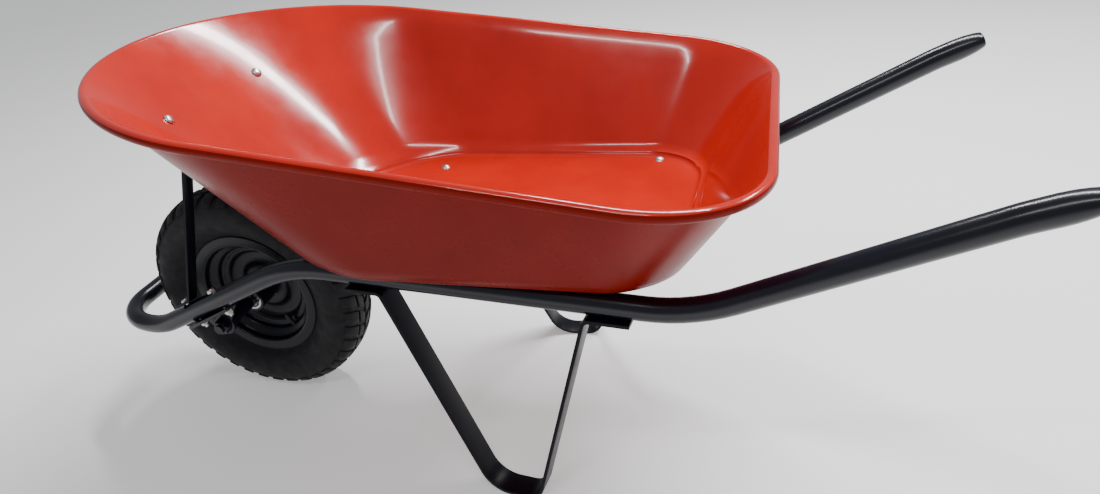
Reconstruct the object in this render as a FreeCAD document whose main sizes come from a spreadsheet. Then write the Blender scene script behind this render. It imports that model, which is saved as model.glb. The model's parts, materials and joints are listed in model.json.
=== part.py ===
"""Builder's wheelbarrow: a steel tray on one bent tube frame, a single pneumatic wheel and two strap legs.

+X points back along the handles, +Y to the operator's right, +Z up. The floor is z = 0 and the origin is
the middle of the footprint. Left is -Y, as the operator sees it between the handles. Lengths along the
barrow are kept in the sheet as distances behind the wheel's axle.
"""
import FreeCAD
import Part
import math
import os

from FreeCAD import Placement, Rotation, Vector

SHEET = {
    "axle_x": (-444.7, "axle, from the middle of the footprint"),
    "tyre_radius": (200.0, "16 inch tyre"),
    "tyre_half": (50.0, "half the tyre's section width"),
    "tyre_wall": (6.0, "tyre sidewall"),
    "bead_radius": (101.6, "8 inch bead seat"),
    "flange_radius": (119.0, "rim flange"),
    "rim_half": (32.0, "half the rim's width over its flanges"),
    "rim_gauge": (2.4, "rim sheet"),
    "hub_radius": (24.0, "hub tube, outside"),
    "hub_half": (44.0, "half the hub's length"),
    "race_radius": (20.0, "bearing, outside"),
    "race_width": (12.0, "bearing width"),
    "ball_radius": (3.1, "bearing ball"),
    "ball_circle": (14.5, "radius of the ball circle"),
    "ball_count": (9, "balls in each bearing"),
    "axle_radius": (8.0, "axle rod"),
    "spacer_radius": (12.0, "axle spacer, outside"),
    "run_gap": (0.05, "running clearance"),
    "tube_radius": (15.875, "1 1/4 inch frame tube"),
    "tube_wall": (1.6, "frame tube wall"),
    "nose_x": (-245.0, "front of the nose loop"),
    "nose_level": (184.0, "height of the nose loop"),
    "nose_half": (99.0, "half width of the nose loop"),
    "nose_bend": (80.0, "nose corner bend"),
    "rise_x": (-139.0, "where the tube starts to rise"),
    "rise_half": (121.0, "half the frame's width there"),
    "splay": (0.106, "how fast the rails spread, per unit of length"),
    "rise_bend": (180.0, "bend there"),
    "rail_x": (202.0, "where the rails turn level"),
    "rail_level": (349.0, "height of the level rails"),
    "rail_bend": (290.0, "bend there"),
    "lift_x": (785.0, "where the handles start to rise"),
    "lift_bend": (240.0, "bend there"),
    "grip_x": (1089.0, "where the grips flatten out"),
    "grip_level": (502.0, "height there"),
    "grip_bend": (231.0, "bend there"),
    "end_x": (1146.5, "handle end"),
    "end_level": (526.0, "height of the handle end"),
    "end_radius": (9.5, "swaged handle end"),
    "taper": (36.0, "length of the swaged end"),
    "floor_front": (182.0, "tray floor, front edge"),
    "floor_rear": (768.0, "tray floor, rear edge"),
    "floor_half": (215.0, "half the tray floor's width"),
    "floor_nose": (188.0, "front corner radius of the floor"),
    "floor_corner": (95.0, "rear corner radius of the floor"),
    "rim_front": (-48.0, "tray rim, front"),
    "rim_rear": (859.0, "tray rim, rear"),
    "rim_wide_x": (250.0, "where the rim's front curve meets its sides"),
    "rim_width_half": (307.0, "half the tray's width inside its rolled edge"),
    "rim_corner": (142.0, "rear corner radius of the rim"),
    "rim_level": (632.0, "height of the tray's edge over the axle"),
    "rim_drop": (0.14, "fall of the rim towards the handles, per unit of length"),
    "bead_bar": (6.3, "radius of the rolled edge"),
    "bead_drop": (4.0, "middle of the rolled edge, below the sheet's edge"),
    "tray_gauge": (1.2, "tray sheet"),
    "strap_width": (38.0, "leg strap"),
    "strap_gauge": (5.0, "leg strap thickness"),
    "leg_front_x": (359.0, "bend under the front of the rail"),
    "foot_front_x": (492.0, "front bend of the foot"),
    "foot_rear_x": (569.0, "rear bend of the foot"),
    "leg_rear_x": (656.0, "bend under the rear of the rail"),
    "leg_bend": (9.0, "bends at the rail"),
    "foot_front_bend": (50.0, "front bend of the foot, inside"),
    "foot_rear_bend": (26.0, "rear bend of the foot, inside"),
    "foot_out": (20.0, "how far the foot stands outboard of the rail"),
    "bolt_front_x": (326.0, "front tray bolts"),
    "bolt_rear_x": (693.0, "rear tray bolts"),
    "bolt_inset": (10.0, "tray bolts, inboard of the rail's middle"),
    "flange_reach": (22.0, "leg flange beyond its bolt"),
    "bolt_radius": (4.0, "M8 bolts"),
    "hole_radius": (4.4, "holes for M8 bolts"),
    "head_radius": (8.2, "carriage bolt head"),
    "head_rise": (4.0, "carriage bolt head height"),
    "nut_flats": (13.0, "M8 nut over its flats"),
    "nut_rise": (6.5, "M8 nut height"),
    "washer_radius": (8.5, "M8 washer, outside"),
    "washer_gauge": (1.6, "M8 washer"),
    "brace_half_y": (110.0, "front brace bolts, off the middle"),
    "brace_top_part": (0.70, "how far up the front slope the brace bolts sit, as a share"),
    "brace_lap": (28.0, "brace lying on the slope below its bolt"),
    "brace_width": (20.0, "front brace strap"),
    "brace_gauge": (4.0, "front brace thickness"),
    "ear_gauge": (5.0, "axle bracket plate"),
    "ear_radius": (19.0, "round end of the axle bracket"),
    "bracket_half": (18.0, "half the width of the axle bracket's flat"),
    "bracket_x": (-6.0, "middle of the axle bracket"),
    "bracket_spread": (37.0, "bracket bolts, each side of the axle along the tube"),
}

doc = FreeCAD.newDocument("wheelbarrow")
sheet = doc.addObject("Spreadsheet::Sheet", "dims")
for row, (alias, (number, meaning)) in enumerate(SHEET.items(), start=1):
    sheet.set(f"A{row}", alias)
    sheet.set(f"B{row}", str(number))
    sheet.set(f"C{row}", meaning)
    sheet.setAlias(f"B{row}", alias)
doc.recompute()

nodes = []


class Size:
    """A length that knows its number and the sheet formula it comes from."""

    def __init__(self, number, formula):
        self.number = float(number)
        self.formula = formula

    @staticmethod
    def of(other):
        return other if isinstance(other, Size) else Size(other, repr(float(other)))

    def __add__(self, other):
        other = Size.of(other)
        return Size(self.number + other.number, f"({self.formula} + {other.formula})")

    def __sub__(self, other):
        other = Size.of(other)
        return Size(self.number - other.number, f"({self.formula} - {other.formula})")

    def __mul__(self, other):
        other = Size.of(other)
        return Size(self.number * other.number, f"({self.formula} * {other.formula})")

    def __truediv__(self, other):
        other = Size.of(other)
        return Size(self.number / other.number, f"({self.formula} / {other.formula})")

    def __neg__(self):
        return self * -1

    __radd__ = __add__
    __rmul__ = __mul__


def size(alias):
    return Size(sheet.get(alias), f"dims.{alias}")


def mm(alias):
    return float(sheet.get(alias))


def fail(reason):
    raise RuntimeError(reason)


def keep(obj, label):
    """Names a finished sub-part, which is then written to its own file."""
    obj.Label = label
    nodes.append(obj)
    return obj


def solid_feature(label, shape):
    """A sub-part whose shape comes from the sheet's sizes through Part's own functions."""
    obj = doc.addObject("Part::Feature", label)
    obj.Shape = shape
    return keep(obj, label)


# ---------------------------------------------------------------- sketched bodies

def new_body(label):
    body = doc.addObject("PartDesign::Body", label)
    body.Label = label
    return body


def new_sketch(body, role, name="outline"):
    plane = [f for f in body.Origin.OriginFeatures if f.Role == role][0]
    sketch = body.newObject("Sketcher::SketchObject", f"{body.Name}_{name}")
    sketch.AttachmentSupport = [(plane, "")]
    sketch.MapMode = "FlatFace"
    return sketch


def pin(sketch, geometry, point, x, y):
    """Fixes one point of a sketch at two sheet formulas, measured from the origin."""
    from Sketcher import Constraint
    for kind, length in (("DistanceX", Size.of(x)), ("DistanceY", Size.of(y))):
        index = sketch.addConstraint(Constraint(kind, -1, 1, geometry, point, length.number))
        sketch.setExpression(f"Constraints[{index}]", length.formula)


def polygon(sketch, points):
    """A closed outline with straight sides through points given as pairs of sizes."""
    from Sketcher import Constraint
    corners = [Vector(Size.of(x).number, Size.of(y).number, 0) for x, y in points]
    first = sketch.GeometryCount
    count = len(points)
    for i in range(count):
        sketch.addGeometry(Part.LineSegment(corners[i], corners[(i + 1) % count]), False)
    for i in range(count):
        sketch.addConstraint(Constraint("Coincident", first + i, 2, first + (i + 1) % count, 1))
    for i, (x, y) in enumerate(points):
        pin(sketch, first + i, 1, x, y)


def circle(sketch, x, y, radius):
    from Sketcher import Constraint
    x, y, radius = Size.of(x), Size.of(y), Size.of(radius)
    index = sketch.addGeometry(Part.Circle(Vector(x.number, y.number, 0), Vector(0, 0, 1), radius.number))
    if abs(x.number) > 1e-6 or abs(y.number) > 1e-6:
        pin(sketch, index, 3, x, y)
    else:
        sketch.addConstraint(Constraint("Coincident", index, 3, -1, 1))
    constraint = sketch.addConstraint(Constraint("Radius", index, radius.number))
    sketch.setExpression(f"Constraints[{constraint}]", radius.formula)


def turned(label, points, hollow=None):
    """A body turned about Y from (radius, y) points, with an optional closed hollow."""
    body = new_body(label)
    sketch = new_sketch(body, "XY_Plane")
    polygon(sketch, points)
    if hollow:
        polygon(sketch, hollow)
    turn = body.newObject("PartDesign::Revolution", f"{label}_turn")
    turn.Profile = sketch
    turn.ReferenceAxis = (sketch, ["V_Axis"])
    turn.Angle = 360
    doc.recompute()
    return body


def padded(body, sketch, length, name, midplane=False, reverse=False):
    pad = body.newObject("PartDesign::Pad", f"{body.Name}_{name}")
    pad.Profile = sketch
    pad.Length = Size.of(length).number
    pad.setExpression("Length", Size.of(length).formula)
    pad.SideType = "Symmetric" if midplane else "One side"
    pad.Reversed = reverse
    doc.recompute()
    return pad


def at_axle(y=0.0):
    return Placement(Vector(mm("axle_x"), y, mm("tyre_radius")), Rotation())


# ---------------------------------------------------------------- frame geometry

def half_width(x):
    """Distance of a rail's middle line from the middle plane, x behind the axle."""
    return mm("rise_half") + mm("splay") * (x - mm("rise_x"))


def on_frame(x, side, z):
    return Vector(mm("axle_x") + x, side * half_width(x), z)


def rise_slope():
    return (mm("rail_level") - mm("nose_level")) / (mm("rail_x") - mm("rise_x"))


def rising_level(x):
    """Height of the tube's middle line on its straight climb past the wheel."""
    return mm("nose_level") + rise_slope() * (x - mm("rise_x"))


def bent_wire(points, bends):
    """Straight runs joined by tangent arcs, one bend radius for each inner point."""
    edges = []
    start = points[0]
    for before, corner, after, radius in zip(points, points[1:], points[2:], bends):
        back = (before - corner).normalize()
        ahead = (after - corner).normalize()
        half_turn = (math.pi - back.getAngle(ahead)) / 2
        setback = radius * math.tan(half_turn)
        middle = corner + (back + ahead).normalize() * (radius / math.cos(half_turn) - radius)
        entry = corner + back * setback
        leave = corner + ahead * setback
        edges.append(Part.LineSegment(start, entry).toShape())
        edges.append(Part.Arc(entry, middle, leave).toShape())
        start = leave
    edges.append(Part.LineSegment(start, points[-1]).toShape())
    return Part.Wire(edges)


def frame_points(side):
    nose = [Vector(mm("axle_x") + mm("nose_x"), side * mm("nose_half"), mm("nose_level"))]
    rest = [("rise_x", "nose_level"), ("rail_x", "rail_level"), ("lift_x", "rail_level"),
            ("grip_x", "grip_level"), ("end_x", "end_level")]
    return nose + [on_frame(mm(x), side, mm(z)) for x, z in rest]


def handle_end(side):
    """End of a handle and the direction it points in."""
    before, end = frame_points(side)[-2:]
    return end, (end - before).normalize()


def frame_wire():
    left, right = frame_points(-1), frame_points(1)
    for line, side in ((left, -1), (right, 1)):
        end, ahead = handle_end(side)
        line[-1] = end - ahead * mm("taper")
    bends = ["nose_bend", "rise_bend", "rail_bend", "lift_bend", "grip_bend"]
    radii = [mm(name) for name in bends]
    return bent_wire(left[::-1] + right, radii[::-1] + radii)


def frame_solid(thinner):
    """The frame's bent rod, its radius reduced by `thinner`, with a cone at each handle end."""
    radius = mm("tube_radius") - thinner
    wire = frame_wire()
    start = wire.OrderedVertexes[0].Point
    ahead = handle_end(-1)[1] * -1
    section = Part.Wire(Part.makeCircle(radius, start, ahead))
    rod = wire.makePipeShell([section], True, True)
    for side in (-1, 1):
        end, ahead = handle_end(side)
        taper, tip = mm("taper"), mm("end_radius") - thinner
        rod = rod.fuse(Part.makeCone(radius, tip, taper, end - ahead * taper, ahead))
    return rod


def through(center, axis, radius, length=80.0):
    """A drill through a point, both ways along an axis."""
    return Part.makeCylinder(radius, length, center - axis * (length / 2), axis)


# ---------------------------------------------------------------- fastener places

def up_from_tube():
    """Square to the climbing part of the tube, in the upright plane."""
    slope = math.atan(rise_slope())
    return Vector(-math.sin(slope), 0, math.cos(slope))


def floor_bolt_places():
    places = []
    for side in (-1, 1):
        for x in ("bolt_front_x", "bolt_rear_x"):
            place = on_frame(mm(x), side, mm("rail_level"))
            places.append(Vector(place.x, place.y - side * mm("bolt_inset"), place.z))
    return places


def bracket_bolt_places():
    """Front and rear bolt of the left bracket, then of the right. The front one holds the brace too."""
    run = mm("bracket_spread") * math.cos(math.atan(rise_slope()))
    places = []
    for side in (-1, 1):
        for x in (mm("bracket_x") - run, mm("bracket_x") + run):
            places.append(on_frame(x, side, rising_level(x)))
    return places


def brace_foot_places():
    return bracket_bolt_places()[::2]


def rail_drills():
    up = Vector(0, 0, 1)
    square = up_from_tube()
    drills = [through(place, up, mm("hole_radius")) for place in floor_bolt_places()]
    drills += [through(place, square, mm("hole_radius")) for place in bracket_bolt_places()]
    return drills


def make_frame():
    solid = frame_solid(0).cut(frame_solid(mm("tube_wall")))
    for drill in rail_drills():
        solid = solid.cut(drill)
    solid_feature("frame_tube", solid.removeSplitter())


# ---------------------------------------------------------------- tray

def arc_points(center, radius_x, radius_y, start, end, count):
    """Points on part of an ellipse, angles in degrees."""
    steps = [math.radians(start + (end - start) * i / count) for i in range(count)]
    return [Vector(center[0] + radius_x * math.cos(a), center[1] + radius_y * math.sin(a), 0) for a in steps]


def line_points(start, end, count):
    first, last = Vector(*start, 0), Vector(*end, 0)
    return [first + (last - first) * (i / count) for i in range(count)]


def outline(front, rear, half, nose_x, nose_y, corner):
    """Half of a tray outline, from its front middle along +Y to its rear middle, x behind the axle."""
    flat = half - nose_y
    if flat > 1:
        first, side = 180, line_points((front, 0), (front, flat), 2)
    else:
        first, side = 170, arc_points((front + nose_x, 0), nose_x, half, 180, 170, 2)
    side += arc_points((front + nose_x, flat), nose_x, nose_y, first, 90, 8)
    side += line_points((front + nose_x, half), (rear - corner, half), 5)
    side += arc_points((rear - corner, half - corner), corner, corner, 90, 0, 6)
    side += line_points((rear, half - corner), (rear, 0), 3)
    return side + [Vector(rear, 0, 0)]


def floor_outline(grow):
    return outline(mm("floor_front") - grow, mm("floor_rear") + grow, mm("floor_half") + grow,
                   mm("floor_nose") + grow, mm("floor_nose") + grow, mm("floor_corner") + grow)


def rim_outline(grow):
    half = mm("rim_width_half") + grow
    front = mm("rim_front") - grow
    rear, corner = mm("rim_rear") + grow, mm("rim_corner") + grow
    return outline(front, rear, half, mm("rim_wide_x") - front, half, corner)


def floor_level():
    """Top of the rails, where the tray's underside lies."""
    return mm("rail_level") + mm("tube_radius") + 0.05


def rim_height(x):
    return mm("rim_level") - mm("rim_drop") * x


def tray_level(low, high, part, bottom):
    """Points `part` of the way up the wall from a floor outline to a rim outline."""
    level = []
    for a, b in zip(low, high):
        spot = a + (b - a) * part
        level.append(Vector(mm("axle_x") + spot.x, spot.y, bottom + (rim_height(b.x) - bottom) * part))
    return level


def closed_curve(half):
    """A smooth closed wire through half an outline and its mirror image."""
    mirrored = [Vector(p.x, -p.y, p.z) for p in half[-2:0:-1]]
    spline = Part.BSplineCurve()
    spline.interpolate(Points=half + mirrored, PeriodicFlag=True)
    return Part.Wire(spline.toShape())


def tray_block(grow, bottom, over):
    """The solid inside a tray skin run on `over` the rim: flat floor, rounded edge, sloping walls."""
    low, high = floor_outline(grow), rim_outline(grow)
    wires = []
    for inset, up in ((4.6, 0), (2.2, 1.4), (0.6, 4.2)):
        around = floor_outline(grow - inset)
        wires.append(closed_curve([Vector(mm("axle_x") + p.x, p.y, bottom + up) for p in around]))
    wires += [closed_curve(tray_level(low, high, part, bottom)) for part in (0.1, 0.55, 1.0)]
    beyond = [Vector(mm("axle_x") + p.x, p.y, rim_height(p.x) + over) for p in rim_outline(grow + over / 2)]
    wires.append(closed_curve(beyond))
    return Part.makeLoft(wires, True, True)


def under_rim():
    """All the space below the sloping plane of the rim."""
    front, rear = -300, 1200
    profile = ((front, 0), (rear, 0), (rear, rim_height(rear)), (front, rim_height(front)), (front, 0))
    corners = [Vector(mm("axle_x") + x, -500, z) for x, z in profile]
    return Part.Face(Part.makePolygon(corners)).extrude(Vector(0, 1000, 0))


def slope_bolt():
    """Place and outward direction of the front tray bolt on the +Y side, on the sheet's middle."""
    low, high = floor_outline(0), rim_outline(0)
    rows = [(a, b) for a, b in zip(low, high) if b.y <= mm("rim_width_half")]
    bottom = floor_level()
    part = mm("brace_top_part")
    line = [(a + (b - a) * part, bottom + (rim_height(b.x) - bottom) * part) for a, b in rows]
    for (p, zp), (q, zq) in zip(line, line[1:]):
        if p.y <= mm("brace_half_y") <= q.y:
            share = (mm("brace_half_y") - p.y) / (q.y - p.y)
            spot = p + (q - p) * share
            place = Vector(mm("axle_x") + spot.x, spot.y, zp + (zq - zp) * share)
            break
    run = Vector(q.x - p.x, q.y - p.y, zq - zp)
    climb = high[3] - low[3]
    climb = Vector(climb.x, climb.y, rim_height(high[3].x) - bottom)
    outward = run.cross(climb).normalize()
    if outward.x > 0:
        outward = outward * -1
    return place, outward


def mirror_y(vector):
    return Vector(vector.x, -vector.y, vector.z)


def slope_bolt_places():
    place, outward = slope_bolt()
    return [(mirror_y(place), mirror_y(outward)), (place, outward)]


def make_tray():
    """The pressed sheet, and the edge rolled over its outside, which is closed on itself as a ring."""
    gauge, bar = mm("tray_gauge"), mm("bead_bar")
    outer = tray_block(gauge, floor_level(), 30.0)
    inner = tray_block(0, floor_level() + gauge, 30.0)
    tray = outer.cut(inner).common(under_rim())
    for place in floor_bolt_places():
        tray = tray.cut(through(place, Vector(0, 0, 1), mm("hole_radius")))
    for place, outward in slope_bolt_places():
        tray = tray.cut(through(place, outward, mm("hole_radius")))
    solid_feature("tray", tray)
    around = rim_outline(gauge * 1.2 + bar + 0.2)
    drop = mm("bead_drop")
    edge = closed_curve([Vector(mm("axle_x") + p.x, p.y, rim_height(p.x) - drop) for p in around])
    start = edge.OrderedVertexes[0].Point
    tangent = edge.Edges[0].tangentAt(edge.Edges[0].FirstParameter)
    section = Part.Wire(Part.makeCircle(bar, start, tangent))
    solid_feature("tray_rolled_edge", edge.makePipeShell([section], True, False))


# ---------------------------------------------------------------- straps

def strap(points, bends, gauge, width, across):
    """A flat strap of rectangular section bent along points; its middle line follows them."""
    wire = bent_wire(points, bends)
    ahead = (points[1] - points[0]).normalize()
    normal = ahead.cross(across).normalize()
    corners = []
    for a, b in ((-1, -1), (1, -1), (1, 1), (-1, 1), (-1, -1)):
        corners.append(points[0] + across * (a * width / 2) + normal * (b * gauge / 2))
    pipe = Part.BRepOffsetAPI.MakePipeShell(wire)
    pipe.setBiNormalMode(across)
    pipe.setTransitionMode(1)
    pipe.add(Part.makePolygon(corners))
    pipe.build()
    pipe.makeSolid()
    return pipe.shape()


def leaning_slab(points, across, lean, top):
    """Space as wide as a strap, leaning `lean` outboard on its way from `top` to the ground."""
    ahead = (points[-1] - points[0]).normalize()
    start = points[0] - ahead * 100
    corners = []
    for edge, z in ((-0.5, -20), (0.5, -20), (0.5, top + 20), (-0.5, top + 20), (-0.5, -20)):
        spot = start + across * (edge * mm("strap_width") + lean * (1 - z / top))
        corners.append(Vector(spot.x, spot.y, z))
    return Part.Face(Part.makePolygon(corners)).extrude(ahead * ((points[-1] - points[0]).Length + 200))


def make_leg(side, label):
    gauge = mm("strap_gauge")
    top = mm("rail_level") - mm("tube_radius") - gauge / 2
    foot = gauge / 2
    line = [("bolt_front_x", top, -mm("flange_reach")), ("leg_front_x", top, 0), ("foot_front_x", foot, 0),
            ("foot_rear_x", foot, 0), ("leg_rear_x", top, 0), ("bolt_rear_x", top, mm("flange_reach"))]
    points = [on_frame(mm(x) + shift, side, z) for x, z, shift in line]
    across = Vector(-side * mm("splay"), 1, 0).normalize()
    bends = [mm("leg_bend"), mm("foot_front_bend"), mm("foot_rear_bend"), mm("leg_bend")]
    wide = strap(points, bends, gauge, mm("strap_width") + 4 * mm("foot_out"), across)
    solid = wide.common(leaning_slab(points, across, side * mm("foot_out"), top))
    for place in floor_bolt_places():
        solid = solid.cut(through(place, Vector(0, 0, 1), mm("hole_radius")))
    solid_feature(label, solid)


def make_brace(side, label):
    """A flat strap from the tray's sloping front down to the tube beside the wheel."""
    gauge, width = mm("brace_gauge"), mm("brace_width")
    place, outward = slope_bolt_places()[(side + 1) // 2]
    top = place + outward * (mm("tray_gauge") + gauge / 2 + 1.0)
    level = outward.cross(Vector(0, 0, 1)).normalize()
    down = outward.cross(level).normalize()
    if down.z > 0:
        down = down * -1
    lap = mm("brace_lap")
    corners = [top + down * a + level * (b * width / 2) - outward * (gauge / 2)
               for a, b in ((-16, -1), (lap + 2, -1), (lap + 2, 1), (-16, 1), (-16, -1))]
    flat = Part.Face(Part.makePolygon(corners)).extrude(outward * gauge)
    square = up_from_tube()
    along = Vector(square.z, 0, -square.x)
    bolt = brace_foot_places()[(side + 1) // 2]
    foot = bolt + square * (mm("tube_radius") + gauge / 2 + 0.02)
    start = top + down * lap
    lean = math.atan2(foot.y - start.y, start.z - foot.z)
    points = [start, foot + along * 14, foot - along * 14]
    for point in points:
        point.y = start.y
    strut = strap(points, [8.0], gauge, width, Vector(0, 1, 0))
    strut.rotate(start, Vector(1, 0, 0), math.degrees(lean))
    solid = flat.fuse(strut)
    for center, axis in ((place, outward), (bolt, square)):
        solid = solid.cut(through(center, axis, mm("hole_radius"), 70.0))
    seat = bolt + square * (mm("tube_radius") + gauge + 0.05)
    solid = solid.cut(Part.makeCylinder(9.5, 12.0, seat, square))
    solid_feature(label, solid)


# ---------------------------------------------------------------- axle brackets

def tube_frame(side):
    """Frame of reference under the climbing tube, above the axle: x along it, z square to it."""
    x = mm("bracket_x")
    base = on_frame(x, side, rising_level(x)) - up_from_tube() * mm("tube_radius")
    return Placement(base, Rotation(Vector(0, 1, 0), -math.degrees(math.atan(rise_slope()))))


def make_bracket(side, label):
    """A flat bolted under the tube with an ear that drops to the axle."""
    body = new_body(label)
    base = tube_frame(side)
    axle = base.inverse().multVec(Vector(mm("axle_x"), 0, mm("tyre_radius")))
    reach, gauge = size("bracket_spread") + 14, size("ear_gauge")
    flat = new_sketch(body, "XZ_Plane", "flat")
    polygon(flat, [(-reach, -gauge), (reach, -gauge), (reach, 0), (-reach, 0)])
    padded(body, flat, size("bracket_half") * 2, "flat_pad", midplane=True)
    inboard = Placement(Vector(0, 0, side * ear_offset()), Rotation())
    ear = new_sketch(body, "XZ_Plane", "ear")
    ear.AttachmentOffset = inboard
    radius = size("ear_radius")
    inset = 8
    polygon(ear, [(-reach + inset, -gauge), (-radius + axle.x, axle.z),
                  (radius + axle.x, axle.z), (reach - inset, -gauge)])
    padded(body, ear, gauge, "ear_pad", midplane=True)
    round_end = new_sketch(body, "XZ_Plane", "round_end")
    round_end.AttachmentOffset = inboard
    circle(round_end, axle.x, axle.z, radius)
    padded(body, round_end, gauge, "round_pad", midplane=True)
    hole = new_sketch(body, "XZ_Plane", "hole")
    circle(hole, axle.x, axle.z, size("axle_radius") + size("run_gap"))
    pocket = body.newObject("PartDesign::Pocket", f"{label}_hole")
    pocket.Profile = hole
    pocket.Type = "ThroughAll"
    pocket.Midplane = True
    bolts = new_sketch(body, "XY_Plane", "bolts")
    for turn in (-1, 1):
        shift = mm("splay") * mm("bracket_spread") * turn * side * math.cos(math.atan(rise_slope()))
        circle(bolts, size("bracket_spread") * turn, shift, size("hole_radius"))
    drill = body.newObject("PartDesign::Pocket", f"{label}_bolts")
    drill.Profile = bolts
    drill.Type = "ThroughAll"
    drill.Midplane = True
    doc.recompute()
    body.Placement = base
    keep(body, label)


# ---------------------------------------------------------------- wheel

def make_wheel():
    tyre, half, wall = size("tyre_radius"), size("tyre_half"), size("tyre_wall")
    bead, flange = size("bead_radius"), size("flange_radius")
    rim, gauge = size("rim_half"), size("rim_gauge")
    widest = (tyre.number + flange.number) / 2
    seat = rim - gauge
    skin = [(bead, -seat), (flange, -seat), (flange + 4, -seat), (widest - 8, -half), (widest + 8, -half),
            (tyre - 14, -half + 3), (tyre - 5, -half + 14), (tyre, -half + 28)]
    skin += [(x, -y) for x, y in skin[::-1]]
    inside = [(bead, seat - 11), (flange, seat - 10), (widest, half - wall), (tyre - 20, half - wall - 4),
              (tyre - 12, half - 24)]
    inside += [(x, -y) for x, y in inside[::-1]]
    tyre_body = turned("tyre", skin + inside)
    tube_out = [(bead + 3, seat - 13), (flange, seat - 12), (widest, half - wall - 1),
                (tyre - 21, half - wall - 5), (tyre - 13, half - 25)]
    tube_out += [(x, -y) for x, y in tube_out[::-1]]
    tube_in = [(bead + 5, seat - 15), (flange, seat - 14), (widest, half - wall - 3),
               (tyre - 23, half - wall - 7), (tyre - 15, half - 26)]
    tube_in += [(x, -y) for x, y in tube_in[::-1]]
    inner_tube = turned("inner_tube", tube_out, tube_in)
    drop = bead - 14
    hub, well = size("hub_radius"), bead - gauge
    seam = drop - gauge
    rim_body = turned("rim", [(flange, -rim), (flange, -seat), (bead, -seat), (bead, -18), (drop, -10),
                              (drop, 10), (bead, 18), (bead, seat), (flange, seat), (flange, rim),
                              (well, rim), (well, 19), (seam, 11), (seam, -11), (well, -19), (well, -rim)])
    dish = [(seam, 1.2), (74, 1.2), (68, 13), (48, 15), (40, 4), (hub, 4)]
    disc_body = turned("rim_disc", dish + [(x, -gauge + y) for x, y in dish[::-1]])
    race, width, end = size("race_radius"), size("race_width"), size("hub_half")
    lip = race - 3
    hub_body = turned("hub", [(lip, -end + width), (race, -end + width), (race, -end), (hub, -end),
                              (hub, end), (race, end), (race, end - width), (lip, end - width)])
    for body in (tyre_body, inner_tube, rim_body, disc_body, hub_body):
        body.Placement = at_axle()
        keep(body, body.Name)


def make_bearings():
    race, width, end = mm("race_radius"), mm("race_width"), mm("hub_half")
    track, ball, gap = mm("ball_circle"), mm("ball_radius"), mm("run_gap")
    center = Vector(mm("axle_x"), 0, mm("tyre_radius"))
    across = Vector(0, 1, 0)
    groove = Part.makeTorus(track, ball + gap, center, across)
    outer, inner, balls = [], [], []
    for side in (-1, 1):
        middle = center + across * (side * (end - width / 2))
        start = middle - across * (width / 2)
        cut = groove.copy()
        cut.translate(middle - center)
        ring = Part.makeCylinder(race, width, start, across)
        outer.append(ring.cut(Part.makeCylinder(track + 2, width, start, across)).cut(cut))
        ring = Part.makeCylinder(track - 2, width, start, across)
        inner.append(ring.cut(Part.makeCylinder(mm("axle_radius"), width, start, across)).cut(cut))
        count = int(mm("ball_count"))
        for index in range(count):
            angle = 2 * math.pi * index / count
            spot = middle + Vector(math.cos(angle), 0, math.sin(angle)) * track
            balls.append(Part.makeSphere(ball, spot))
    solid_feature("bearing_outer_races", Part.makeCompound(outer))
    solid_feature("bearing_inner_races", Part.makeCompound(inner))
    solid_feature("bearing_balls", Part.makeCompound(balls))


def ear_offset():
    """Middle of a bracket's ear, inboard of the tube's middle line."""
    return mm("bracket_half") - mm("ear_gauge") / 2


def ear_inner_y():
    """Inboard face of a bracket's ear, off the middle plane."""
    return half_width(mm("bracket_x")) - ear_offset() - mm("ear_gauge") / 2


def make_axle():
    reach = ear_inner_y() + mm("ear_gauge") + mm("nut_rise") * 2 + 4
    rod = doc.addObject("Part::Cylinder", "axle")
    rod.setExpression("Radius", "dims.axle_radius")
    rod.Height = 2 * reach
    rod.Placement = Placement(Vector(mm("axle_x"), reach, mm("tyre_radius")), Rotation(Vector(1, 0, 0), 90))
    keep(rod, "axle")
    spacers, nuts, washers = [], [], []
    for side in (-1, 1):
        out = Vector(0, side, 0)
        center = Vector(mm("axle_x"), 0, mm("tyre_radius"))
        start, stop = mm("hub_half"), ear_inner_y()
        base, length = center + out * start, stop - start
        spacers.append(ring_at(base, out, mm("spacer_radius"), mm("axle_radius"), length))
        face = ear_inner_y() + mm("ear_gauge")
        washers.append(ring_at(center + out * face, out, 14.0, mm("axle_radius"), 2.0))
        nuts.append(hex_nut(center + out * (face + 2.0), out, 24.0, mm("axle_radius"), 11.0))
    solid_feature("axle_spacers", Part.makeCompound(spacers))
    solid_feature("axle_washers", Part.makeCompound(washers))
    solid_feature("axle_nuts", Part.makeCompound(nuts))


# ---------------------------------------------------------------- valve

def make_valve():
    """A short rubber stem through the rim's well, pointing to the axle, with its cap."""
    angle = math.radians(-60)
    inward = Vector(-math.cos(angle), 0, -math.sin(angle))
    center = Vector(mm("axle_x"), 0, mm("tyre_radius"))
    side = Vector(0, -8, 0)
    seat = center - inward * (mm("bead_radius") + 0.4) + side
    stem = Part.makeCylinder(4.0, 27, seat, inward)
    stem = stem.fuse(Part.makeCylinder(7.0, 2.4, seat - inward * 1.6, inward))
    stem = stem.fuse(Part.makeCylinder(2.6, 8, seat + inward * 27, inward))
    mouth = seat + inward * 28
    cap = Part.makeCylinder(4.6, 11, mouth, inward).cut(Part.makeCylinder(2.6, 7, mouth, inward))
    solid_feature("valve_stem", stem.removeSplitter())
    solid_feature("valve_cap", cap)
    return seat, inward


def drill_rim(rim, seat, inward):
    """The rim's well with a hole for the valve."""
    drill = Part.makeCylinder(4.0, 34, seat - inward * 3, inward)
    shape = rim.Shape.cut(drill)
    nodes.remove(rim)
    rim.Label = "rim_blank"
    solid_feature("rim", shape)


# ---------------------------------------------------------------- fasteners

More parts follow.
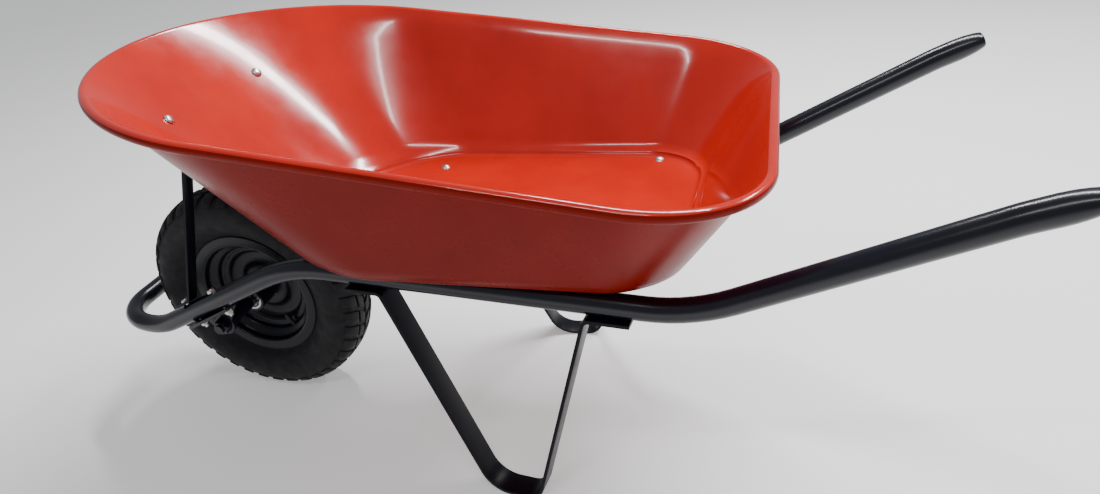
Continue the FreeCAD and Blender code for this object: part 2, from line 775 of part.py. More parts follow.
def ring_at(base, axis, outer, inner, height):
    return Part.makeCylinder(outer, height, base, axis).cut(Part.makeCylinder(inner, height, base, axis))


def set_along(shape, base, axis):
    """Move a shape built up from the origin onto `base`, standing along `axis`."""
    shape.Placement = Placement(base, Rotation(Vector(0, 0, 1), axis))
    return shape


def hexagon(flats, height):
    """A hexagonal block with its top corners turned off, standing on the origin."""
    radius = flats / math.sqrt(3)
    turns = [math.radians(60 * i) for i in range(7)]
    corners = [Vector(radius * math.cos(a), radius * math.sin(a), 0) for a in turns]
    prism = Part.Face(Part.makePolygon(corners)).extrude(Vector(0, 0, height))
    return prism.common(Part.makeCone(radius * 1.18, flats * 0.47, height))


def hex_nut(base, axis, flats, bore, height):
    return set_along(hexagon(flats, height).cut(Part.makeCylinder(bore, height)), base, axis)


def carriage_bolt(under_head, axis, length):
    """Domed head on `under_head`, shank along `axis`."""
    rise, radius, shank, crown = mm("head_rise"), mm("head_radius"), mm("bolt_radius"), 0.8
    middle = Vector(radius * 0.66, 0, -rise * 0.70)
    dome = Part.Arc(Vector(radius, 0, 0), middle, Vector(crown, 0, -rise)).toShape()
    rest = Part.makePolygon([Vector(*p) for p in ((crown, 0, -rise), (0, 0, -rise), (0, 0, length),
                                                   (shank, 0, length), (shank, 0, 0), (radius, 0, 0))])
    half = Part.Face(Part.Wire([dome] + rest.Edges))
    return set_along(half.revolve(Vector(0, 0, 0), Vector(0, 0, 1), 360), under_head, axis)


def hex_bolt(under_head, axis, length):
    head = hexagon(mm("nut_flats"), 5.3)
    head.rotate(Vector(0, 0, 0), Vector(1, 0, 0), 180)
    shank = Part.makeCylinder(mm("bolt_radius"), length + 0.5, Vector(0, 0, -0.5))
    return set_along(head.fuse(shank), under_head, axis)


def fastener_set(name, joints):
    """Bolts, washers and nuts for joints given as (head face, direction, grip, make_bolt)."""
    bolts, washers, nuts = [], [], []
    for face, axis, grip, make in joints:
        washer, nut = mm("washer_gauge"), mm("nut_rise")
        bolts.append(make(face, axis, grip + washer + nut + 4))
        washers.append(ring_at(face + axis * grip, axis, mm("washer_radius"), mm("bolt_radius"), washer))
        nuts.append(hex_nut(face + axis * (grip + washer), axis, mm("nut_flats"), mm("bolt_radius"), nut))
    solid_feature(f"{name}_bolts", Part.makeCompound(bolts))
    solid_feature(f"{name}_washers", Part.makeCompound(washers))
    solid_feature(f"{name}_nuts", Part.makeCompound(nuts))


def make_fasteners():
    down = Vector(0, 0, -1)
    tube, gauge = mm("tube_radius"), mm("tray_gauge")
    tray_top = floor_level() + gauge
    under_leg = mm("rail_level") - tube - mm("strap_gauge")
    joints = []
    for place in floor_bolt_places():
        joints.append((Vector(place.x, place.y, tray_top), down, tray_top - under_leg, carriage_bolt))
    fastener_set("tray", joints)
    joints = []
    for place, outward in slope_bolt_places():
        grip = gauge + mm("brace_gauge") + 1.7
        joints.append((place - outward * 0.6, outward, grip, carriage_bolt))
    fastener_set("brace_top", joints)
    square = up_from_tube() * -1
    joints = []
    for index, place in enumerate(bracket_bolt_places()):
        over = mm("brace_gauge") + 0.05 if index % 2 == 0 else 0.05
        grip = 2 * tube + mm("ear_gauge") + over + 0.05
        joints.append((place - square * (tube + over), square, grip, hex_bolt))
    fastener_set("bracket", joints)


# ---------------------------------------------------------------- assembly

make_tray()
make_frame()
for hand, name in ((-1, "left"), (1, "right")):
    make_leg(hand, f"leg_{name}")
    make_brace(hand, f"brace_{name}")
    make_bracket(hand, f"axle_bracket_{name}")
make_wheel()
make_bearings()
make_axle()
stem_seat, stem_axis = make_valve()
drill_rim(doc.getObject("rim"), stem_seat, stem_axis)
make_fasteners()
doc.recompute()

for item in doc.Objects:
    if "Invalid" in item.State or "Error" in item.State:
        fail(f"{item.Label} did not build: {item.State}")

os.makedirs("parts", exist_ok=True)
whole = FreeCAD.BoundBox()
for node in nodes:
    if node.Shape.isNull() or not node.Shape.isValid():
        fail(f"{node.Label} has no valid shape")
    node.Shape.exportStep(f"parts/{node.Label}.step")
    whole.add(node.Shape.optimalBoundingBox(False))
    print(node.Label, len(node.Shape.Solids), round(node.Shape.Volume / 1000, 2))
print("size", [round(v, 2) for v in (whole.XLength, whole.YLength, whole.ZLength)])
print("low", [round(v, 2) for v in (whole.XMin, whole.YMin, whole.ZMin)], "middle x", round(whole.Center.x, 2))
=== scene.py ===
import json
import math

import bmesh
import bpy
from mathutils import Matrix, Vector


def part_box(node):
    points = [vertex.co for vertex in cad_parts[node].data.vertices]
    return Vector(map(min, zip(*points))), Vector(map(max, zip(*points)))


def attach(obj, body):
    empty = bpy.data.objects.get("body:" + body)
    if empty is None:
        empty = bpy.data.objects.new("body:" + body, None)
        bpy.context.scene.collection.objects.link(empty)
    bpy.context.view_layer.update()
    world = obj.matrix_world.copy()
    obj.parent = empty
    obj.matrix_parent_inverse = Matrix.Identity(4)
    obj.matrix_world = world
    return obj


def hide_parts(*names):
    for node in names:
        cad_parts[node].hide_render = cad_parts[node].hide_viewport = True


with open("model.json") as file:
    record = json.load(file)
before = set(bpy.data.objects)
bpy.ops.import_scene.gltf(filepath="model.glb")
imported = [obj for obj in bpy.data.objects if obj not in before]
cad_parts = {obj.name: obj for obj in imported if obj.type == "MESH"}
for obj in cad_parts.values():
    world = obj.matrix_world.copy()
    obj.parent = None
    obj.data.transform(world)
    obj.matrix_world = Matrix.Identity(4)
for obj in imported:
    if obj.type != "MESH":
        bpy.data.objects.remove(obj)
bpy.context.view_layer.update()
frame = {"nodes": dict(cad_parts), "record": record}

# ---------------------------------------------------------------- places read from the frame

AXLE = (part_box("axle")[0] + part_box("axle")[1]) / 2
MM = 0.001


def at(x, y, z):
    """A point given in mm behind the axle, to the right, and over the floor."""
    return Vector((AXLE.x + x * MM, y * MM, z * MM))


# ---------------------------------------------------------------- mesh helpers

def add_piece(name, mesh, body, material, stands_for, angle=35):
    """A visible piece on a body, shown in place of CAD nodes; edges over `angle` degrees stay sharp."""
    mesh.shade_smooth()
    mesh.set_sharp_from_angle(angle=math.radians(angle))
    mesh.materials.clear()
    mesh.materials.append(material)
    piece = bpy.data.objects.new(name, mesh)
    bpy.context.scene.collection.objects.link(piece)
    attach(piece, body)
    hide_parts(*stands_for)
    return piece


def from_lists(name, points, faces):
    """A mesh from points and faces, with its normals turned outward."""
    mesh = bpy.data.meshes.new(name)
    mesh.from_pydata([tuple(p) for p in points], [], faces)
    mesh.validate()
    work = bmesh.new()
    work.from_mesh(mesh)
    bmesh.ops.recalc_face_normals(work, faces=work.faces)
    work.to_mesh(mesh)
    work.free()
    return mesh


def skin(rings, wrap=False):
    """Points and faces of a skin through equal closed rings, its ends capped or joined by `wrap`."""
    count = len(rings[0])
    points = [p for ring in rings for p in ring]
    faces = []
    total = len(rings)
    for i in range(total if wrap else total - 1):
        low, high = i * count, ((i + 1) % total) * count
        for j in range(count):
            k = (j + 1) % count
            faces.append((low + j, low + k, high + k, high + j))
    if not wrap:
        faces.append(tuple(range(count))[::-1])
        faces.append(tuple(range((total - 1) * count, total * count)))
    return points, faces


def rounded(corners, radius, steps=4):
    """A closed outline of (a, b) corners, each turned round an arc of up to `radius`."""
    result = []
    count = len(corners)
    for i in range(count):
        before, corner, after = (Vector(corners[(i + k) % count]) for k in (-1, 0, 1))
        back, ahead = before - corner, after - corner
        reach = min(radius, back.length * 0.45, ahead.length * 0.45)
        start, end = corner + back.normalized() * reach, corner + ahead.normalized() * reach
        for step in range(steps + 1):
            t = step / steps
            result.append(start * (1 - t) ** 2 + corner * (2 * t * (1 - t)) + end * t ** 2)
    return result


def turned(name, outline, segments=144):
    """A closed (radius, y) outline in mm turned about the wheel's axle."""
    rings = []
    for i in range(segments):
        turn = 2 * math.pi * i / segments
        across = Vector((math.cos(turn), 0, math.sin(turn)))
        rings.append([AXLE + across * (r * MM) + Vector((0, y * MM, 0)) for r, y in outline])
    return from_lists(name, *skin(rings, wrap=True))


def smooth_line(points, steps):
    """A Catmull-Rom curve through 2-D points."""
    result = []
    for i in range(len(points) - 1):
        a, b, c, d = (Vector(points[min(max(i + k, 0), len(points) - 1)]) for k in (-1, 0, 1, 2))
        for step in range(steps):
            t = step / steps
            result.append(0.5 * ((2 * b) + (c - a) * t + (2 * a - 5 * b + 4 * c - d) * t ** 2
                                 + (3 * b - a - 3 * c + d) * t ** 3))
    return result + [Vector(points[-1])]


def softened(node, width, material, body):
    """A CAD node's shape with its sharp edges rounded off by `width` mm, shown in its place."""
    work = bmesh.new()
    work.from_mesh(frame["nodes"][node].data)
    bmesh.ops.remove_doubles(work, verts=work.verts, dist=1e-6)
    bmesh.ops.dissolve_limit(work, angle_limit=math.radians(0.5), verts=work.verts, edges=work.edges)
    sharp = [e for e in work.edges if len(e.link_faces) == 2 and e.calc_face_angle(0) > math.radians(40)]
    bmesh.ops.bevel(work, geom=sharp, offset=width * MM, segments=2, profile=0.6, affect="EDGES",
                    clamp_overlap=True)
    name = f"{node}_shown"
    mesh = bpy.data.meshes.new(name)
    work.to_mesh(mesh)
    work.free()
    return add_piece(name, mesh, body, material, [node])


# ---------------------------------------------------------------- materials

def new_material(name, color, roughness, metallic=0.0, coat=0.0, specular=0.5):
    """A Principled material and the handles its texture nodes need."""
    material = bpy.data.materials.new(name)
    material.use_nodes = True
    tree = material.node_tree
    shader = tree.nodes["Principled BSDF"]
    shader.inputs["Base Color"].default_value = (*color, 1)
    shader.inputs["Roughness"].default_value = roughness
    shader.inputs["Metallic"].default_value = metallic
    shader.inputs["Coat Weight"].default_value = coat
    shader.inputs["Coat Roughness"].default_value = 0.06
    shader.inputs["Specular IOR Level"].default_value = specular
    return material, tree, shader


def noise(tree, scale, detail=4.0, rough=0.55):
    """Cloudy noise fixed to the object, `scale` cells to a metre."""
    place = tree.nodes.new("ShaderNodeTexCoord")
    texture = tree.nodes.new("ShaderNodeTexNoise")
    texture.inputs["Scale"].default_value = scale
    texture.inputs["Detail"].default_value = detail
    texture.inputs["Roughness"].default_value = rough
    tree.links.new(place.outputs["Object"], texture.inputs["Vector"])
    return texture.outputs["Fac"]


def spread(tree, value, low, high):
    """Map a texture's middle values onto a range."""
    node = tree.nodes.new("ShaderNodeMapRange")
    node.inputs["From Min"].default_value = 0.3
    node.inputs["From Max"].default_value = 0.7
    node.inputs["To Min"].default_value = low
    node.inputs["To Max"].default_value = high
    tree.links.new(value, node.inputs["Value"])
    return node.outputs["Result"]


def tint(tree, value, dark, light, start=0.3, end=0.7):
    """Blend two colours by a texture's value."""
    node = tree.nodes.new("ShaderNodeValToRGB")
    node.color_ramp.elements[0].position = start
    node.color_ramp.elements[0].color = (*dark, 1)
    node.color_ramp.elements[1].position = end
    node.color_ramp.elements[1].color = (*light, 1)
    tree.links.new(value, node.inputs["Fac"])
    return node.outputs["Color"]


def bump(tree, shader, value, depth, distance, under=None):
    """Raise the surface by a texture, on top of the bump `under` if there is one."""
    node = tree.nodes.new("ShaderNodeBump")
    node.inputs["Strength"].default_value = depth
    node.inputs["Distance"].default_value = distance
    tree.links.new(value, node.inputs["Height"])
    if under:
        tree.links.new(under, node.inputs["Normal"])
    tree.links.new(node.outputs["Normal"], shader.inputs["Normal"])
    return node.outputs["Normal"]


def enamel(name, dark, light, roughness, smear, peel, specular, coat=0.0):
    """Gloss paint: a cloudy colour, smears that dull the gloss, and a faint orange peel."""
    material, tree, shader = new_material(name, light, roughness, coat=coat, specular=specular)
    tree.links.new(tint(tree, noise(tree, 7.0, 5.0), dark, light), shader.inputs["Base Color"])
    smears = spread(tree, noise(tree, 16.0, 6.0, 0.65), roughness, roughness + smear)
    tree.links.new(smears, shader.inputs["Roughness"])
    peeled = bump(tree, shader, noise(tree, 420.0, 2.0), peel, 0.0004)
    bump(tree, shader, noise(tree, 5.0, 2.0), 0.25, 0.003, peeled)
    return material


def rubber(name, dark, light, roughness):
    """Rubber or dull plastic: a dusty colour and a fine grain."""
    material, tree, shader = new_material(name, light, roughness, specular=0.35)
    dust = tint(tree, noise(tree, 24.0, 6.0, 0.6), dark, light, 0.35, 0.75)
    tree.links.new(dust, shader.inputs["Base Color"])
    wear = spread(tree, noise(tree, 60.0, 4.0), roughness - 0.1, roughness + 0.12)
    tree.links.new(wear, shader.inputs["Roughness"])
    bump(tree, shader, noise(tree, 900.0, 3.0), 0.25, 0.0005)
    return material


def steel(name, dark, light, roughness):
    """Bare or plated steel: a mottled colour and a fine grain."""
    material, tree, shader = new_material(name, light, roughness, metallic=1.0)
    tree.links.new(tint(tree, noise(tree, 160.0, 5.0, 0.7), dark, light), shader.inputs["Base Color"])
    grain = spread(tree, noise(tree, 300.0, 3.0), roughness - 0.08, roughness + 0.14)
    tree.links.new(grain, shader.inputs["Roughness"])
    bump(tree, shader, noise(tree, 700.0, 2.0), 0.12, 0.0003)
    return material


red = enamel("red_enamel", (0.47, 0.009, 0.002), (0.60, 0.014, 0.003), 0.12, 0.08, 0.05, 0.5, coat=0.35)
# A darker, less glossy copy of the red enamel for the tray's outside: its darker colour is painted shade
# for the side turned away from the lights.
red_painted_shade = enamel("red_enamel_painted_shade", (0.185, 0.006, 0.0025), (0.235, 0.008, 0.0035), 0.24, 0.10,
                     0.02, 0.10)
black = enamel("black_enamel", (0.003, 0.003, 0.008), (0.006, 0.006, 0.014), 0.18, 0.10, 0.02, 0.5)
strap_black = enamel("strap_enamel", (0.003, 0.003, 0.007), (0.006, 0.006, 0.011), 0.30, 0.12, 0.02, 0.14)
rim_black = enamel("rim_enamel", (0.003, 0.003, 0.007), (0.006, 0.006, 0.012), 0.24, 0.14, 0.02, 0.34)
tyre_rubber = rubber("tyre_rubber", (0.005, 0.005, 0.007), (0.013, 0.012, 0.015), 0.66)
tube_rubber = rubber("tube_rubber", (0.012, 0.012, 0.012), (0.02, 0.02, 0.02), 0.55)
zinc = steel("zinc_plate", (0.52, 0.52, 0.50), (0.78, 0.78, 0.74), 0.28)
race_steel = steel("ground_steel", (0.45, 0.45, 0.46), (0.66, 0.66, 0.67), 0.22)
cap_plastic = rubber("cap_plastic", (0.010, 0.010, 0.010), (0.018, 0.018, 0.018), 0.45)

SLOT_MATERIALS = {
    "tray_enamel": red,
    "frame_enamel": black,
    "rim_enamel": rim_black,
    "tyre_rubber": tyre_rubber,
    "tube_rubber": tube_rubber,
    "cap_plastic": cap_plastic,
    "bearing_steel": race_steel,
    "zinc": zinc,
}
for part in frame["record"]["subparts"]:
    data = frame["nodes"][part["node"]].data
    data.materials.clear()
    data.materials.append(SLOT_MATERIALS[part["material_slot"]])

# ---------------------------------------------------------------- tray

# Outlines in mm: x behind the axle, half widths, and z over the floor. The rim comes down by `drop` for
# every mm towards the handles.
FLOOR = {"front": 182.0, "middle": 470.0, "rear": 768.0, "half": 215.0, "nose": 188.0, "corner": 95.0,
         "z": 364.9}
RIM = {"front": -48.0, "wide_x": 250.0, "middle": 400.0, "rear": 859.0, "half": 307.0, "corner": 142.0,
       "z": 632.0, "drop": 0.14}
SHEET = 1.2
# Rings over the flat floor, as shares of the way out to the wall's foot.
FLOOR_PARTS = (0.04, 0.3, 0.6, 0.85)
# The rounded foot of the wall, as (distance in from the floor's outline, height).
FOOT = 11
FOOT_CURVE = ((8.2, 0.3), (6.2, 0.8), (4.4, 1.6), (3.0, 2.7), (1.9, 4.0), (1.0, 5.6), (0.3, 7.6))
# Rings up the wall, as shares of the way to the rim; the outside has one more, under the rolled edge.
WALL_PARTS = (0.06, 0.12, 0.2, 0.3, 0.4, 0.5, 0.6, 0.7, 0.8, 0.9)
UNDER_ROLL = 0.95
# The rolled edge: its outer radius, how far its middle lies below the rim, the turns of its lines in
# degrees, and how many of them, over its top, keep the lighter inside enamel as a painted highlight before
# the painted shade of the outside begins.
ROLL = 7.1
ROLL_DROP = 4.2
ROLL_TURNS = range(144, -150, -12)
PAINTED_LIT_ROLL = 9


def rim_height(x):
    """Height in mm of the sheet's top edge, `x` mm behind the axle."""
    return RIM["z"] - RIM["drop"] * x


def arc(center, radius_x, radius_y, start, end, count):
    """Points on part of an ellipse, angles in degrees, without the last one."""
    turns = [math.radians(start + (end - start) * i / count) for i in range(count)]
    return [Vector((center[0] + radius_x * math.cos(a), center[1] + radius_y * math.sin(a))) for a in turns]


def line(start, end, count):
    """Points on a straight line, without the last one."""
    a, b = Vector(start), Vector(end)
    return [a + (b - a) * (i / count) for i in range(count)]


def tray_outline(front, rear, half, nose_x, nose_y, corner):
    """Half an outline, from its front middle along +Y to its rear middle."""
    flat = half - nose_y
    if flat > 1:
        side = line((front, 0), (front, flat), 6)
        side += arc((front + nose_x, flat), nose_x, nose_y, 180, 90, 30)
    else:
        side = arc((front + nose_x, 0), nose_x, half, 180, 170, 6)
        side += arc((front + nose_x, 0), nose_x, half, 170, 90, 30)
    side += line((front + nose_x, half), (rear - corner, half), 20)
    side += arc((rear - corner, half - corner), corner, corner, 90, 0, 20)
    return side + line((rear, half - corner), (rear, 0), 10) + [Vector((rear, 0))]


def floor_line(grow):
    """Half the outline of the floor, `grow` mm larger all round."""
    nose = FLOOR["nose"] + grow
    return tray_outline(FLOOR["front"] - grow, FLOOR["rear"] + grow, FLOOR["half"] + grow, nose, nose,
                        FLOOR["corner"] + grow)


def rim_line(grow):
    """Half the outline of the rim, `grow` mm larger all round."""
    front, half = RIM["front"] - grow, RIM["half"] + grow
    return tray_outline(front, RIM["rear"] + grow, half, RIM["wide_x"] - front, half, RIM["corner"] + grow)


def whole(half):
    """The closed ring of an outline's half and its mirror image."""
    return half + [Vector((p.x, -p.y, *p[2:])) for p in half[-2:0:-1]]


def floor_ring(grow, z):
    return [at(p.x, p.y, z) for p in whole(floor_line(grow))]


def wall_ring(grow, bottom, part):
    """A line round the wall, `part` of the way from the floor's outline to the rim."""
    ring = []
    for low, high in zip(whole(floor_line(grow)), whole(rim_line(grow))):
        spot = low + (high - low) * part
        ring.append(at(spot.x, spot.y, bottom + (rim_height(high.x) - bottom) * part))
    return ring


def wall_rings(grow, bottom):
    """Rings from the middle of the floor to the rim, through the rounded foot of the wall."""
    edge = whole(floor_line(grow - FOOT))
    middle = FLOOR["middle"]
    rings = []
    for share in FLOOR_PARTS:
        rings.append([at((p.x - middle) * share + middle, p.y * share, bottom) for p in edge])
    rings.append(floor_ring(grow - FOOT, bottom))
    rings += [floor_ring(grow - inset, bottom + up) for inset, up in FOOT_CURVE]
    return rings + [wall_ring(grow, bottom, part) for part in WALL_PARTS]


def roll_ring(turn):
    """One line along the rolled edge, `turn` degrees round its middle from straight outboard."""
    ring = []
    base = whole(rim_line(0))
    count = len(base)
    for i, spot in enumerate(base):
        run = (base[(i + 1) % count] - base[i - 1]).normalized()
        out = Vector((-run.y, run.x))
        if out.dot(spot - Vector((RIM["middle"], 0))) < 0:
            out = -out
        place = spot + out * ROLL * (1 + math.cos(math.radians(turn)))
        up = ROLL * math.sin(math.radians(turn)) - ROLL_DROP
        ring.append(at(place.x, place.y, rim_height(spot.x) + up))
    return ring


inside = wall_rings(0, FLOOR["z"] + SHEET)
outside = [roll_ring(turn) for turn in ROLL_TURNS]
outside.append(wall_ring(SHEET, FLOOR["z"], UNDER_ROLL))
outside += wall_rings(SHEET, FLOOR["z"])[::-1]
tray_mesh = from_lists("tray_pressing", *skin(inside + outside))
add_piece("tray_pressing", tray_mesh, "chassis", red, ["tray", "tray_rolled_edge"], 50)
tray_mesh.materials.append(red_painted_shade)
# The painted shade of the outside, a darker copy of the same enamel, starts part of the way round the
# rolled edge.
first_painted_shade = (len(inside) + PAINTED_LIT_ROLL) * len(inside[0])
for face in tray_mesh.polygons:
    if min(face.vertices) >= first_painted_shade:
        face.material_index = 1

# ---------------------------------------------------------------- frame tube

TUBE = 15.875
NOSE = (-245.0, 99.0, 184.0)
RISE_X, RISE_HALF, SPLAY = -139.0, 121.0, 0.106
# Corners of the tube's middle line behind the nose, as (x, z), and the bends' radii from the nose back.
CORNERS = ((RISE_X, 184.0), (202.0, 349.0), (785.0, 349.0), (1089.0, 502.0), (1146.5, 526.0))
BENDS = [80.0, 180.0, 290.0, 240.0, 231.0]
# The flattened handle ends, as (distance from the end, share of the width, share of the height).
END = ((36, 1.0, 1.0), (28, 0.995, 0.98), (20, 0.98, 0.93), (12, 0.95, 0.85), (6, 0.91, 0.76),
       (2, 0.86, 0.68), (0.6, 0.80, 0.62), (0, 0.70, 0.54))


def bent_path(points, bends):
    """Straight runs joined by arcs, as points along the tube's middle line, one to every 4 degrees."""
    path = [points[0]]
    for before, corner, after, radius in zip(points, points[1:], points[2:], bends):
        back, ahead = (before - corner).normalized(), (after - corner).normalized()
        half = (math.pi - back.angle(ahead)) / 2
        setback = radius * math.tan(half)
        center = corner + (back + ahead).normalized() * (radius / math.cos(half))
        entry, leave = corner + back * setback, corner + ahead * setback
        count = max(6, round(math.degrees(2 * half) / 4))
        first = entry - center
        axis = first.cross(leave - center).normalized()
        for i in range(count + 1):
            path.append(center + Matrix.Rotation(2 * half * i / count, 3, axis) @ first)
    return path + [points[-1]]


def frame_side(side):
    """The corners of one side, from the nose back; the sides spread evenly towards the handles."""
    nose = Vector((NOSE[0], side * NOSE[1], NOSE[2]))
    return [nose] + [Vector((x, side * (RISE_HALF + SPLAY * (x - RISE_X)), z)) for x, z in CORNERS]


def swept(name, path, sizes, sides=40):
    """A tube along `path`; `sizes` gives its two half widths, across and up, at each point of it."""
    rings = []
    for i, spot in enumerate(path):
        ahead = (path[min(i + 1, len(path) - 1)] - path[max(i - 1, 0)]).normalized()
        across = ahead.cross(Vector((0, 0, 1))).normalized()
        upward = across.cross(ahead)
        wide, tall = sizes[i]
        turns = [2 * math.pi * k / sides for k in range(sides)]
        ring = [spot + across * (wide * math.cos(a)) + upward * (tall * math.sin(a)) for a in turns]
        rings.append([at(*point) for point in ring])
    return from_lists(name, *skin(rings))


path = bent_path(frame_side(-1)[::-1] + frame_side(1), BENDS[::-1] + BENDS)
into_first = (path[1] - path[0]).normalized()
into_last = (path[-2] - path[-1]).normalized()
full = [path[0] + into_first * d for d, _, _ in END[::-1]]
full += path[1:-1]
full += [path[-1] + into_last * d for d, _, _ in END]
taper = [(TUBE * wide, TUBE * tall) for _, wide, tall in END]
sizes = taper[::-1] + [(TUBE, TUBE)] * (len(path) - 2) + taper
add_piece("frame_tube_shown", swept("frame_tube_shown", full, sizes), "chassis", black,
          ["frame_tube"], 50)

# ---------------------------------------------------------------- straps and brackets

for side in ("left", "right"):
    softened(f"leg_{side}", 0.9, strap_black, "chassis")
    softened(f"brace_{side}", 0.7, strap_black, "chassis")
    softened(f"axle_bracket_{side}", 0.8, black, "chassis")

# ---------------------------------------------------------------- tyre

# Half of the carcass's section from bead to crown, as (radius, y).
CARCASS = ((101.8, 28.4), (112, 29.4), (119.5, 29.8), (124, 33), (132, 40), (144, 46.5), (158, 49.4),
           (171, 48.2), (182, 43.5), (190, 35.5), (194.6, 24), (196.3, 12), (196.8, 0))
half_section = smooth_line(CARCASS, 5)
section = half_section + [Vector((p.x, -p.y)) for p in half_section[-2::-1]]
mesh_tyre = turned("tyre_carcass", section, 180)
# The tread repeats `PITCHES` times round the tyre, with two kinds of lug on each side of the crown. Each
# patch is four corners as (share of a pitch, mm from the crown), with its steps across and along.
PITCHES = 38
CROWN_LUG = (((0.0, 1.6), (0.78, 1.6), (1.18, 17.5), (0.40, 17.5)), (3, 5))
SHOULDER_LUG = (((0.52, 21.0), (1.24, 21.0), (1.50, 49.0), (0.86, 49.0)), (3, 8))
# A lug's levels, as (drawn in by this share of the patch, rise in mm): root, start of the chamfer, face.
LUG_HEIGHT = 3.2
FACE_INSET = 0.07
LUG_LEVELS = ((0.0, -0.8), (0.025, LUG_HEIGHT - 0.7), (FACE_INSET, LUG_HEIGHT))
SHOULDER, SHOULDER_REACH, SHOULDER_DROP = 34, 22, 0.45


def tread_line():
    """Arc length from the crown, radius and half width, down one side of the carcass."""
    table, run = [], 0.0
    previous = half_section[-1]
    for spot in half_section[::-1]:
        run += (spot - previous).length
        table.append((run, spot.x, spot.y))
        previous = spot
    return table


TREAD = tread_line()


def on_tread(turn, across, rise):
    """A point on the tread: `turn` degrees round, `across` mm from the crown, `rise` mm proud."""
    side = -1 if across < 0 else 1
    reach = abs(across)
    for (a, ra, ya), (b, rb, yb) in zip(TREAD, TREAD[1:]):
        if reach <= b:
            break
    share = (reach - a) / (b - a)
    radius, y = ra + (rb - ra) * share, ya + (yb - ya) * share
    slope = Vector((rb - ra, yb - ya)).normalized()
    out = Vector((slope.y, -slope.x))
    radius, y = radius + out.x * rise, (y + out.y * rise) * side
    angle = math.radians(turn)
    around = Vector((math.cos(angle) * radius, 0, math.sin(angle) * radius))
    return AXLE + around * MM + Vector((0, y * MM, 0))


def lug_height(across, rise):
    """The rise of a lug's face, which falls off over the shoulder."""
    return rise * (1 - SHOULDER_DROP * max(0, abs(across) - SHOULDER) / SHOULDER_REACH)


def lug(points, faces, corners, steps):
    """A chamfered block over a four-cornered patch of the tread, corners as (turn, across)."""
    def inside(u, v, shrink):
        u, v = shrink + u * (1 - 2 * shrink), shrink + v * (1 - 2 * shrink)
        a, b, c, d = (Vector(p) for p in corners)
        return (a * (1 - u) + b * u) * (1 - v) + (d * (1 - u) + c * u) * v

    across, along = steps
    border = [(i / across, 0) for i in range(across)] + [(1, j / along) for j in range(along)]
    border += [(1 - i / across, 1) for i in range(across)] + [(0, 1 - j / along) for j in range(along)]
    start = len(points)
    for shrink, rise in LUG_LEVELS:
        for u, v in border:
            turn, spot = inside(u, v, shrink)
            points.append(on_tread(turn, spot, rise if rise < 0 else lug_height(spot, rise)))
    count = len(border)
    for level in range(len(LUG_LEVELS) - 1):
        for j in range(count):
            k = (j + 1) % count
            base = start + level * count
            faces.append((base + j, base + k, base + count + k, base + count + j))
    grid = start + len(LUG_LEVELS) * count
    for j in range(along + 1):
        for i in range(across + 1):
            turn, spot = inside(i / across, j / along, FACE_INSET)
            points.append(on_tread(turn, spot, lug_height(spot, LUG_HEIGHT)))
    row = across + 1
    for j in range(along):
        for i in range(across):
            faces.append((grid + j * row + i, grid + j * row + i + 1, grid + (j + 1) * row + i + 1,
                          grid + (j + 1) * row + i))


points, faces = [], []
pitch = 360 / PITCHES
for index in range(PITCHES):
    for side in (-1, 1):
        base = pitch * (index + (0.5 if side > 0 else 0.0))
        for patch, steps in (CROWN_LUG, SHOULDER_LUG):
            lug(points, faces, [(base + pitch * share, side * across) for share, across in patch], steps)
mesh_lugs = from_lists("tyre_lugs", points, faces)
work = bmesh.new()
work.from_mesh(mesh_tyre)
work.from_mesh(mesh_lugs)
bmesh.ops.remove_doubles(work, verts=work.verts, dist=1e-6)
bmesh.ops.recalc_face_normals(work, faces=work.faces)
joined = bpy.data.meshes.new("tyre_treaded")
work.to_mesh(joined)
work.free()
add_piece("tyre_treaded", joined, "wheel", tyre_rubber, ["tyre"], 38)

# ---------------------------------------------------------------- rim and hub

# The whole section of the rim and its disc, as (radius, y).
DISC = ((119, -32), (119, -29.6), (101.6, -29.6), (101.6, -18), (87.6, -10), (87.6, 10), (101.6, 18),
        (101.6, 29.6), (119, 29.6), (119, 32), (99.2, 32), (99.2, 19), (85.2, 11), (85.2, 1.2), (74, 1.2),
        (68, 13), (48, 15), (40, 4), (24.1, 4), (24.1, 1.6), (40, 1.6), (48, 12.6), (68, 10.6), (74, -1.2),
        (85.2, -1.2), (85.2, -11), (99.2, -19), (99.2, -32))
add_piece("rim_shown", turned("rim_shown", rounded(DISC, 5.0)), "wheel", rim_black,
          ["rim", "rim_disc"], 40)

# ---------------------------------------------------------------- floor, lights and camera

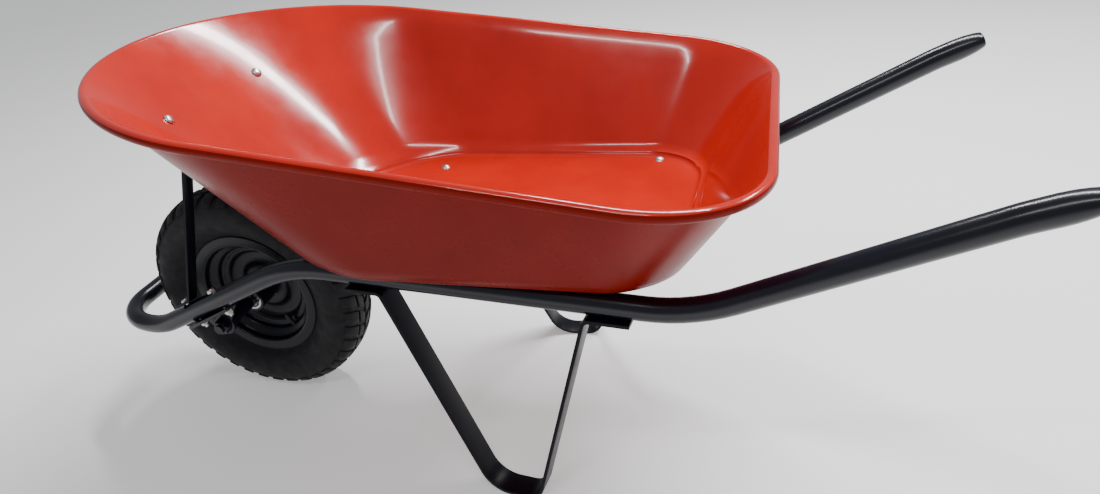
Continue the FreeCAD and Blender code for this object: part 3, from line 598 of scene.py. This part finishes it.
floor_mesh = from_lists("floor", [(-30, -30, 0), (30, -30, 0), (30, 30, 0), (-30, 30, 0)], [(0, 1, 2, 3)])
floor = bpy.data.objects.new("floor", floor_mesh)
floor.location.z = -0.0005
bpy.context.scene.collection.objects.link(floor)
pale, pale_tree, pale_shader = new_material("pale_floor", (0.94, 0.94, 0.93), 0.85, specular=0.1)
pale_tree.links.new(tint(pale_tree, noise(pale_tree, 2.0), (0.93, 0.93, 0.925), (0.95, 0.95, 0.945)),
                    pale_shader.inputs["Base Color"])
pale_shader.inputs["Emission Color"].default_value = (1.0, 1.0, 0.99, 1)
pale_shader.inputs["Emission Strength"].default_value = 0.32
floor_mesh.materials.append(pale)

world = bpy.data.worlds.new("studio")
bpy.context.scene.world = world
world.use_nodes = True
world.node_tree.nodes["Background"].inputs["Color"].default_value = (0.93, 0.95, 1.0, 1)
world.node_tree.nodes["Background"].inputs["Strength"].default_value = 0.32


def panel(name, place, aim, width, height, power):
    """A soft rectangular light at `place`, facing `aim`."""
    light = bpy.data.lights.new(name, "AREA")
    light.shape = "RECTANGLE"
    light.size, light.size_y, light.energy = width, height, power
    holder = bpy.data.objects.new(name, light)
    holder.location = place
    holder.rotation_euler = (Vector(aim) - Vector(place)).to_track_quat("-Z", "Y").to_euler()
    bpy.context.scene.collection.objects.link(holder)


panel("overhead", (0.72, 1.15, 2.6), (0, 0, 0.3), 2.3, 0.14, 105)
panel("left_strip", (0.3, -1.32, 2.38), (-0.1, 0, 0.4), 1.5, 0.04, 12)
panel("rear_right", (2.4, 2.0, 2.5), (0, 0, 0.5), 1.4, 0.25, 40)

# The photo's camera: its direction, its roll about that direction, and its place.
look = Vector((-0.27688, 0.78664, -0.55184)).normalized()
level = look.cross(Vector((0, 0, 1))).normalized()
below = look.cross(level).normalized()
roll = math.radians(7.32)
image_x = level * math.cos(roll) + below * math.sin(roll)
image_y = level * math.sin(roll) - below * math.cos(roll)
eye = bpy.data.cameras.new("camera")
eye.sensor_width = 36.0
eye.lens = 23.944
eye.shift_x = 0.0106
eye.shift_y = 0.0552
eye.clip_start = 0.01
camera = bpy.data.objects.new("camera", eye)
axes = Matrix((image_x, image_y, -look)).transposed().to_4x4()
camera.matrix_world = Matrix.Translation(at(851.4, -941.4, 851.4)) @ axes
bpy.context.scene.collection.objects.link(camera)
bpy.context.scene.camera = camera
